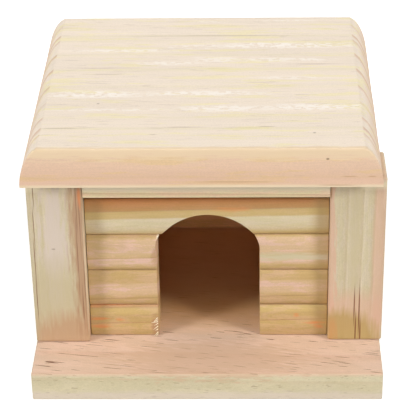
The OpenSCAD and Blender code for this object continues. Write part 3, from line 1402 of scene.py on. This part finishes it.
        # Painted shadow that the posts cast on the log ends beside them.
        marks = [Mark((x, face, middle), (5.4, 9.0, 14.0), Tint.DULL, shadow_strength, 0.35, 0.3)
                 for x, shadow_strength in ((low[0], 0.22), (high[0], 0.55))
                 if abs(x * MM - self.door.middle) > 1.5 * self.door.half]
        marks += [Mark((x, face, z), (half, 3.0, tall), tint, strength, 0.5, 1.2)
                  for x, z, half, tall, tint, strength in TONES.get(name, ())]
        if name == "front_left_log_1":
            marks.append(Mark((jamb - 1.0, face, 14.6), (1.6, 2.0, 4.2), Tint.STREAK,
                              0.7, 0.3, 0.9))
        if name == "front_left_log_3":
            marks.append(Mark((jamb - 0.4, face + 1.2, 42.0), (1.5, 2.5, 4.0), Tint.STREAK,
                              0.3, 0.4, 0.4))
            marks.append(Mark((jamb + 0.7, face + 0.6, 49.2), (0.55, 1.2, 2.4), Tint.PETAL,
                              0.8, 0.4, 0.6))
        return tuple(marks)

    def _finish(self, name: str, row: int, order: int) -> PineFinish:
        """Pine of one log: rings stacked in its height, climbing a little to the right.

        Args:
            name: the log's node.
            row: its row.
            order: the wall's number.

        Returns:
            The finish.
        """
        low, high = (corner / MM for corner in corners(name))
        axis, sign = self._outward()
        face = low[axis] if sign < 0 else high[axis]
        across = [0.0, 0.0, 1.0]
        across[axis] = -self.lean * sign
        across[1 - axis] = -self.climb
        stops = FRONT_ROWS[row]
        if self.side is not Side.FRONT:
            stops = FRONT_ROWS[1 + (row + order) % 4]
            lift = (self.floor + (row - 1) * self.pitch) / MM - stops[0][0]
            stops = tuple((place + lift, late) for place, late in stops)
        stops = tuple((place - self.lean * sign * face, late) for place, late in stops)
        rings = Rings(tuple(across), stops, waviness=0.35)
        tint = np.array((0.0, 2.0, -2.0)) * math.sin(2.1 * row + order)
        early = tuple(float(c) for c in np.array(self.early) + tint)
        grain = Grain.ACROSS if axis == 1 else Grain.DEEP
        lower = row < 4
        return PineFinish(name + "_pine", "log_pine", grain, rings,
                          self.rosy if lower else self.pale, early, self.late, self.brown,
                          self.inner, other_rings=0.5, mottle=1.0 if lower else 0.4,
                          patch=(8.0, 1.8), rose=(1.08, 1.05, 1.30), dashes=0.25,
                          marks=self._marks(name, row), shift=0.7 * row + order)

    def _lines(self, name: str, row: int, way: int) -> tuple[tuple[float, ...], ...]:
        """Grid lines that the log needs along X: the arch's ends or the cut's edge.

        Args:
            name: the log's node.
            row: its row.
            way: side of the doorway, -1 left, 1 right and 0 neither.

        Returns:
            The lines along X, Y and Z.
        """
        low, high = corners(name)
        along_x: tuple[float, ...] = ()
        if self.door and row == 4:
            reach = float(self.door.half_width(low[2:])[0])
            along_x = (self.door.middle - reach, self.door.middle + reach)
        elif self.door and way:
            near = high[0] if way < 0 else low[0]
            steps = np.array([0.45, 0.65, 0.9, 1.3, 1.8, 2.4]) * MM
            along_x = tuple(float(near + way * step) for step in steps)
        return (along_x, (), ())

    def build(self) -> None:
        """Makes the wall's logs."""
        order = list(Side).index(self.side)
        axis, sign = self._outward()
        inward = (-float(sign), 0.0, 0.0) if axis == 0 else (0.0, -float(sign), 0.0)
        for name, row, way in self._rows():
            Board(name, self._finish(name, row, order), ease=0.26 * MM, step=0.8 * MM,
                  marks=self._lines(name, row, way), shape=self._shape(name, row, way),
                  facing=inward, seed=100 + 40 * order + 3 * row + way, wear=0.04 * MM,
                  coarse=0.018 * MM).build()


@dataclass
class Splinters:
    """Pale slivers that the door cut left on the end of the lowest left log.

    Attributes:
        count: how many there are.
        length: the longest one's length.
        thickness: radius at their roots.
        lowest: height of the lowest root.
        highest: height of the highest root.
        rings: cross-sections of each.
        sides: corners of each cross-section.
    """

    count: int = 8
    length: float = 2.2 * MM
    thickness: float = 0.17 * MM
    lowest: float = 11.6 * MM
    highest: float = 18.4 * MM
    rings: int = 7
    sides: int = 6

    def build(self, door: Doorway) -> None:
        """Makes the slivers as tapered tubes, closed at both ends.

        Each one runs from the cut's edge down to the left: its path is
        root + L * (s * d + s^2 * c), with d its direction and c its curl,
        and its radius falls as sqrt(1 - s).

        Args:
            door: the doorway, for the place of the cut.
        """
        draw = np.random.default_rng(5)
        face = corners("front_left_log_1")[0][1]
        n = self.count
        heights = np.linspace(self.lowest, self.highest, n) + draw.normal(0, 0.3 * MM, n)
        root = np.stack([np.full(n, door.left - 0.35 * MM), np.full(n, face + 0.10 * MM),
                         heights], 1)
        way = np.stack([-np.ones(n), -0.16 + 0.05 * draw.normal(size=n),
                        -0.55 + 0.45 * draw.normal(size=n)], 1)
        way /= np.linalg.norm(way, axis=1, keepdims=True)
        curl = draw.normal(0.0, 0.15, (n, 3)) * (1.0, 0.1, 1.0)
        size = self.length * draw.uniform(0.45, 1.0, n)
        s = np.linspace(0.0, 1.0, self.rings)[None, :, None]
        path = root[:, None] + size[:, None, None] * (s * way[:, None] + s ** 2 * curl[:, None])
        across = np.cross(way, (0.0, 1.0, 0.0))
        across /= np.linalg.norm(across, axis=1, keepdims=True)
        other = np.cross(across, way)
        turn = 2.0 * np.pi * np.arange(self.sides) / self.sides
        circle = (np.cos(turn)[None, :, None] * across[:, None]
                  + np.sin(turn)[None, :, None] * other[:, None])
        radius = self.thickness * np.sqrt(1.0 - 0.96 * s)
        skin = path[:, :, None] + radius[..., None] * circle[:, None]
        poles = np.stack([path[:, 0], path[:, -1]], 1)
        points = np.concatenate([skin.reshape(-1, 3), poles.reshape(-1, 3)])
        number = np.arange(skin[..., 0].size).reshape(n, self.rings, self.sides)
        after = np.roll(number, -1, axis=2)
        quads = np.stack([number[:, :-1], after[:, :-1], after[:, 1:], number[:, 1:]], -1)
        tip = number.size + np.arange(2 * n).reshape(n, 2)
        foot = np.broadcast_to(tip[:, :1], (n, self.sides))
        head = np.broadcast_to(tip[:, 1:], (n, self.sides))
        low = np.stack([foot, after[:, 0], number[:, 0]], -1).reshape(-1, 3)
        high = np.stack([head, number[:, -1], after[:, -1]], -1).reshape(-1, 3)
        faces = [*quads.reshape(-1, 4).tolist(), *low.tolist(), *high.tolist()]
        mesh = bpy.data.meshes.new("front_left_log_1_splinters")
        mesh.from_pydata(points, [], faces)
        rings = Rings((0.0, 0.0, 1.0), ((0.0, 0.0), (30.0, 0.2)))
        finish = PineFinish("splinter_pine", "log_pine", Grain.ACROSS, rings,
                            pale=(250, 240, 210), early=(246, 232, 198), late=(214, 186, 150),
                            dashes=0.0, mottle=0.2, shift=4.4)
        place_piece("front_left_log_1_splinters", mesh, finish)


@dataclass
class Header:
    """The thin batten under the roof, between the front posts.

    Attributes:
        node: the frame's node.
    """

    node: str = "door_header"

    def build(self) -> None:
        """Makes the batten."""
        foot = corners(self.node)[0][2] / MM
        rings = Rings.years((0.01, 0.3, 1.0), (foot - 16.0, foot - 10.2, foot - 7.0),
                            (0.5, 0.6, 0.5), slow=1.6, waviness=0.4)
        # Painted light along the top of the header, lifting the roof's shadow there.
        top = Mark((0.0, -40.0, 72.2), (200.0, 9.0, 1.3), Tint.PETAL, 0.8, 0.6, 0.2)
        finish = PineFinish("door_header_pine", "header_pine", Grain.ACROSS, rings,
                            pale=(234, 219, 180), early=(231, 213, 170), late=(196, 160, 122),
                            patch=(22.0, 3.0), rose=(1.05, 0.95, 1.02), dashes=0.4, marks=(top,),
                            shift=9.2)
        Board(self.node, finish, ease=0.12 * MM, step=0.8 * MM, seed=71,
              wear=0.02 * MM, coarse=0.015 * MM).build()


# --- studio -------------------------------------------------------------


@dataclass(frozen=True)
class Lamp:
    """One broad, far and soft lamp.

    Attributes:
        name: its name.
        turn: how far right of the front it stands, in degrees.
        height: its height over the horizon, in degrees.
        light: how brightly it lights a facing surface, where 1 shows its own colour.
        softness: how wide it looks from the house, in degrees.
    """

    name: str
    turn: float
    height: float
    light: float
    softness: float

    def build(self) -> None:
        """Hangs the lamp."""
        data = bpy.data.lights.new(self.name, "SUN")
        data.energy = math.pi * self.light
        data.angle = math.radians(self.softness)
        lamp = bpy.data.objects.new(self.name, data)
        lamp.rotation_euler = (math.radians(90.0 - self.height), 0.0, math.radians(self.turn))
        bpy.context.scene.collection.objects.link(lamp)


@dataclass
class Studio:
    """Camera at the photograph's angle, pale floor and soft light.

    Attributes:
        aside: how far right of the body's middle the camera stands.
        before: how far in front of the porch.
        over: how far over the ground.
        turn: how far it looks left of straight ahead, in degrees.
        down: how far it looks down, in degrees.
        roll: how far it is rolled, in degrees.
        focal: focal length in pixels of the picture.
        picture: the picture's width in pixels.
        sky: even light from all round, where 1 shows a colour as it is.
        floor_grey: how much light the floor gives back to the house.
        floor_white: how white the floor itself is in the picture.
        floor_glow: how much whiter than its light the floor is shown.
        floor_reach: how far the floor reaches to each side, in metres.
        sensor: width of the camera's sensor, in millimetres.
        lamps: the lamps.
    """

    aside: float = 15.55 * MM
    before: float = 488.04 * MM
    over: float = 358.52 * MM
    turn: float = 1.688
    down: float = 30.076
    roll: float = -1.006
    focal: float = 1764.8
    picture: float = 416.0
    sky: float = 0.20
    floor_grey: float = 0.62
    floor_white: float = 0.97
    floor_glow: float = 0.40
    floor_reach: float = 3.0
    sensor: float = 36.0
    lamps: tuple[Lamp, ...] = (
        Lamp("left_low_lamp", -59.0, 25.0, 0.53, 16.0),
        Lamp("left_high_lamp", -60.0, 56.0, 0.09, 22.0),
        Lamp("right_low_lamp", 59.0, 25.0, 0.53, 16.0),
        Lamp("right_high_lamp", 60.0, 56.0, 0.09, 22.0),
        Lamp("front_lamp", 0.0, 14.0, 0.06, 12.0),
        Lamp("top_lamp", 0.0, 80.0, 0.16, 50.0))

    def _camera(self) -> None:
        """Puts the camera where the photograph was taken from."""
        yaw, pitch, roll = (math.radians(a) for a in (self.turn, self.down, self.roll))
        ahead = Vector((-math.sin(yaw) * math.cos(pitch), math.cos(yaw) * math.cos(pitch),
                        -math.sin(pitch)))
        side = Vector((math.cos(yaw), math.sin(yaw), 0.0))
        up = side.cross(ahead)
        right = math.cos(roll) * side + math.sin(roll) * up
        top = -math.sin(roll) * side + math.cos(roll) * up
        data = bpy.data.cameras.new("photo_camera")
        data.sensor_width = self.sensor
        data.lens = self.sensor * self.focal / self.picture
        data.clip_start = 0.01
        camera = bpy.data.objects.new("photo_camera", data)
        basis = Matrix((right, top, -ahead)).transposed()
        middle = (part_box("front_left_post")[0].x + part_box("front_right_post")[1].x) / 2.0
        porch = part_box("base_board")[0].y
        eye = Vector((middle + self.aside, porch - self.before, self.over))
        camera.matrix_world = Matrix.Translation(eye) @ basis.to_4x4()
        bpy.context.scene.collection.objects.link(camera)
        bpy.context.scene.camera = camera

    def _floor(self) -> None:
        """Lays the pale floor, which shows as white but keeps the house's shadow."""
        points = np.array([[-1, -1, 0], [1, -1, 0], [1, 1, 0], [-1, 1, 0]]) * self.floor_reach
        mesh = bpy.data.meshes.new("studio_floor")
        mesh.from_pydata(points, [], [(0, 1, 2, 3)])
        material = bpy.data.materials.new("studio_floor")
        g = Graph(material)
        seen = g.add("LightPath").outputs["Is Camera Ray"]
        colour = g.mix(seen, (*[self.floor_grey] * 3, 1.0), (*[self.floor_white] * 3, 1.0))
        lit = g.add("BsdfDiffuse", {"Color": colour}).outputs[0]
        glow = g.add("Emission", {"Strength": g.span(seen, 0.0, 1.0, 0.0, self.floor_glow)})
        g.finish(g.add("AddShader", {0: lit, 1: glow.outputs[0]}).outputs[0])
        mesh.materials.append(material)
        floor = bpy.data.objects.new("studio_floor", mesh)
        bpy.context.scene.collection.objects.link(floor)

    def _sky(self) -> None:
        """Even white light from all round, seen as white."""
        world = bpy.data.worlds.new("studio_sky")
        g = Graph(world)
        path = g.add("LightPath").outputs
        seen = g.math("MAXIMUM", path["Is Camera Ray"], path["Is Glossy Ray"])
        seen = g.math("MAXIMUM", seen, path["Is Transmission Ray"])
        strength = g.span(seen, 0.0, 1.0, self.sky, 1.0)
        white = (1.0, 1.0, 1.0, 1.0)
        g.finish(g.add("Background", {"Color": white, "Strength": strength}).outputs[0])
        bpy.context.scene.world = world

    def build(self) -> None:
        """Makes the whole studio."""
        self._camera()
        self._floor()
        self._sky()
        for lamp in self.lamps:
            lamp.build()
        bpy.context.scene.view_settings.view_transform = "Standard"


def main() -> None:
    """Builds the house, board by board, and the studio around it."""
    logging.basicConfig(level=logging.INFO, format="%(name)s: %(message)s")
    Studio().build()
    Base().build()
    Posts().build()
    door = Doorway()
    for side in Side:
        LogWall(side, door if side is Side.FRONT else None).build()
    Splinters().build(door)
    Header().build()
    Roof().build()


if __name__ == "__main__":
    main()
